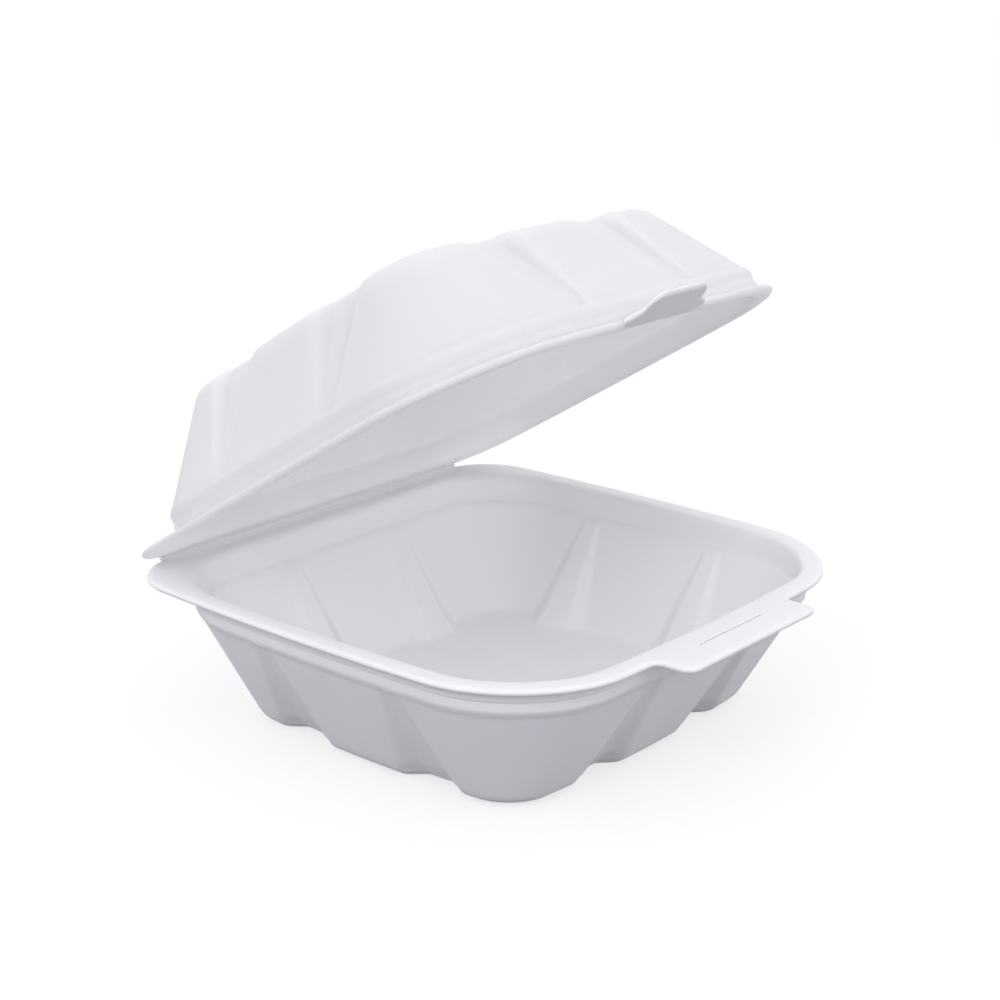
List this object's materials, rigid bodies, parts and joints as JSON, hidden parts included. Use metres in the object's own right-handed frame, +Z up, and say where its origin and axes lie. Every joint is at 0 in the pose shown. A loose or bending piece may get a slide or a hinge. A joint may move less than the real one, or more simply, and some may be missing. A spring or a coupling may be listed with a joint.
{
  "type": "foam clamshell food container",
  "caption": "One-piece pressed foam food container with a fluted square base tray, a matching hinged lid, a rolled rim, a slotted front tab and a lid tongue.",
  "frame": {"origin": "middle of the flat foot under the base tray, on the table", "axes": "+X along the front side, +Y from the front tab to the hinge, +Z up"},
  "size_m": [0.153, 0.1516, 0.1333],
  "materials": {
    "base_foam": "satin white foam sheet",
    "lid_foam": "satin white foam sheet"
  },
  "bodies": {
    "base": {"base": "base_foam"},
    "lid": {"lid": "lid_foam"}
  },
  "joints": [
    {"name": "lid_hinge", "type": "hinge", "parent": "base", "child": "lid", "pos_m": [0, 0.06915, 0.04015], "axis": [-1, 0, 0], "range_deg": [-32.5, 147.5]}
  ]
}
